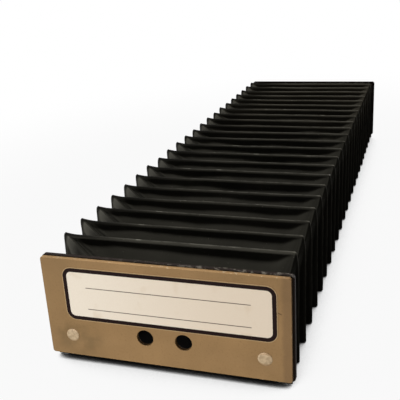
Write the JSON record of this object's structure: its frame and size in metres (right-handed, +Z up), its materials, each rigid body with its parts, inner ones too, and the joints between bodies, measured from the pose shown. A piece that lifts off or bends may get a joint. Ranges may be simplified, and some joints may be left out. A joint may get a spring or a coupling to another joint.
{
  "type": "bellows way cover",
  "caption": "Pleated bellows cover for a profile rail: black coated cloth folded over U-shaped stiffeners, with a tan bolted plate at the rail end and a carriage plate at the other.",
  "frame": {"origin": "on the outer face of the front plate, midway between its two bolt holes", "axes": "+Y along the rail from the rail-end plate towards the carriage plate, +Z up away from the rail's base, +X across the rail"},
  "size_m": [0.0892, 0.3184, 0.0425],
  "materials": {
    "plate": "matt tan coat with scuffs",
    "board": "black plastic sheet",
    "rivet": "rough set head",
    "label": "cream sticker with a dark border",
    "skin": "black coated cloth, satin",
    "rib": "dark plastic sheet"
  },
  "bodies": {
    "rail_end": {"front_plate": "plate", "front_board": "board", "front_rivets": "rivet", "label": "label", "bellows_skin": "skin"},
    "rib_01": {"stiffener_01": "rib"},
    "rib_02": {"stiffener_02": "rib"},
    "rib_03": {"stiffener_03": "rib"},
    "rib_04": {"stiffener_04": "rib"},
    "rib_05": {"stiffener_05": "rib"},
    "rib_06": {"stiffener_06": "rib"},
    "rib_07": {"stiffener_07": "rib"},
    "rib_08": {"stiffener_08": "rib"},
    "rib_09": {"stiffener_09": "rib"},
    "rib_10": {"stiffener_10": "rib"},
    "rib_11": {"stiffener_11": "rib"},
    "rib_12": {"stiffener_12": "rib"},
    "rib_13": {"stiffener_13": "rib"},
    "rib_14": {"stiffener_14": "rib"},
    "rib_15": {"stiffener_15": "rib"},
    "rib_16": {"stiffener_16": "rib"},
    "rib_17": {"stiffener_17": "rib"},
    "rib_18": {"stiffener_18": "rib"},
    "rib_19": {"stiffener_19": "rib"},
    "rib_20": {"stiffener_20": "rib"},
    "rib_21": {"stiffener_21": "rib"},
    "rib_22": {"stiffener_22": "rib"},
    "carriage_end": {"rear_board": "board", "rear_plate": "plate", "rear_rivets": "rivet"}
  },
  "joints": [
    {"name": "fold_01", "type": "slide", "parent": "rail_end", "child": "rib_01", "axis": [0, 1, 0], "range_m": [-0.00991, 0.01357], "deforming": ["bellows_skin"]},
    {"name": "fold_02", "type": "slide", "parent": "rib_01", "child": "rib_02", "axis": [0, 1, 0], "range_m": [-0.00991, 0.01357]},
    {"name": "fold_03", "type": "slide", "parent": "rib_02", "child": "rib_03", "axis": [0, 1, 0], "range_m": [-0.00991, 0.01357]},
    {"name": "fold_04", "type": "slide", "parent": "rib_03", "child": "rib_04", "axis": [0, 1, 0], "range_m": [-0.00991, 0.01357]},
    {"name": "fold_05", "type": "slide", "parent": "rib_04", "child": "rib_05", "axis": [0, 1, 0], "range_m": [-0.00991, 0.01357]},
    {"name": "fold_06", "type": "slide", "parent": "rib_05", "child": "rib_06", "axis": [0, 1, 0], "range_m": [-0.00991, 0.01357]},
    {"name": "fold_07", "type": "slide", "parent": "rib_06", "child": "rib_07", "axis": [0, 1, 0], "range_m": [-0.00991, 0.01357]},
    {"name": "fold_08", "type": "slide", "parent": "rib_07", "child": "rib_08", "axis": [0, 1, 0], "range_m": [-0.00991, 0.01357]},
    {"name": "fold_09", "type": "slide", "parent": "rib_08", "child": "rib_09", "axis": [0, 1, 0], "range_m": [-0.00991, 0.01357]},
    {"name": "fold_10", "type": "slide", "parent": "rib_09", "child": "rib_10", "axis": [0, 1, 0], "range_m": [-0.00991, 0.01357]},
    {"name": "fold_11", "type": "slide", "parent": "rib_10", "child": "rib_11", "axis": [0, 1, 0], "range_m": [-0.00991, 0.01357]},
    {"name": "fold_12", "type": "slide", "parent": "rib_11", "child": "rib_12", "axis": [0, 1, 0], "range_m": [-0.00991, 0.01357]},
    {"name": "fold_13", "type": "slide", "parent": "rib_12", "child": "rib_13", "axis": [0, 1, 0], "range_m": [-0.00991, 0.01357]},
    {"name": "fold_14", "type": "slide", "parent": "rib_13", "child": "rib_14", "axis": [0, 1, 0], "range_m": [-0.00991, 0.01357]},
    {"name": "fold_15", "type": "slide", "parent": "rib_14", "child": "rib_15", "axis": [0, 1, 0], "range_m": [-0.00991, 0.01357]},
    {"name": "fold_16", "type": "slide", "parent": "rib_15", "child": "rib_16", "axis": [0, 1, 0], "range_m": [-0.00991, 0.01357]},
    {"name": "fold_17", "type": "slide", "parent": "rib_16", "child": "rib_17", "axis": [0, 1, 0], "range_m": [-0.00991, 0.01357]},
    {"name": "fold_18", "type": "slide", "parent": "rib_17", "child": "rib_18", "axis": [0, 1, 0], "range_m": [-0.00991, 0.01357]},
    {"name": "fold_19", "type": "slide", "parent": "rib_18", "child": "rib_19", "axis": [0, 1, 0], "range_m": [-0.00991, 0.01357]},
    {"name": "fold_20", "type": "slide", "parent": "rib_19", "child": "rib_20", "axis": [0, 1, 0], "range_m": [-0.00991, 0.01357]},
    {"name": "fold_21", "type": "slide", "parent": "rib_20", "child": "rib_21", "axis": [0, 1, 0], "range_m": [-0.00991, 0.01357]},
    {"name": "fold_22", "type": "slide", "parent": "rib_21", "child": "rib_22", "axis": [0, 1, 0], "range_m": [-0.00991, 0.01357]},
    {"name": "fold_23", "type": "slide", "parent": "rib_22", "child": "carriage_end", "axis": [0, 1, 0], "range_m": [-0.00991, 0.01357]}
  ],
  "couplings": [
    {"joint": "fold_02", "follows": "fold_01", "ratio": 1},
    {"joint": "fold_03", "follows": "fold_01", "ratio": 1},
    {"joint": "fold_04", "follows": "fold_01", "ratio": 1},
    {"joint": "fold_05", "follows": "fold_01", "ratio": 1},
    {"joint": "fold_06", "follows": "fold_01", "ratio": 1},
    {"joint": "fold_07", "follows": "fold_01", "ratio": 1},
    {"joint": "fold_08", "follows": "fold_01", "ratio": 1},
    {"joint": "fold_09", "follows": "fold_01", "ratio": 1},
    {"joint": "fold_10", "follows": "fold_01", "ratio": 1},
    {"joint": "fold_11", "follows": "fold_01", "ratio": 1},
    {"joint": "fold_12", "follows": "fold_01", "ratio": 1},
    {"joint": "fold_13", "follows": "fold_01", "ratio": 1},
    {"joint": "fold_14", "follows": "fold_01", "ratio": 1},
    {"joint": "fold_15", "follows": "fold_01", "ratio": 1},
    {"joint": "fold_16", "follows": "fold_01", "ratio": 1},
    {"joint": "fold_17", "follows": "fold_01", "ratio": 1},
    {"joint": "fold_18", "follows": "fold_01", "ratio": 1},
    {"joint": "fold_19", "follows": "fold_01", "ratio": 1},
    {"joint": "fold_20", "follows": "fold_01", "ratio": 1},
    {"joint": "fold_21", "follows": "fold_01", "ratio": 1},
    {"joint": "fold_22", "follows": "fold_01", "ratio": 1},
    {"joint": "fold_23", "follows": "fold_01", "ratio": 1}
  ]
}
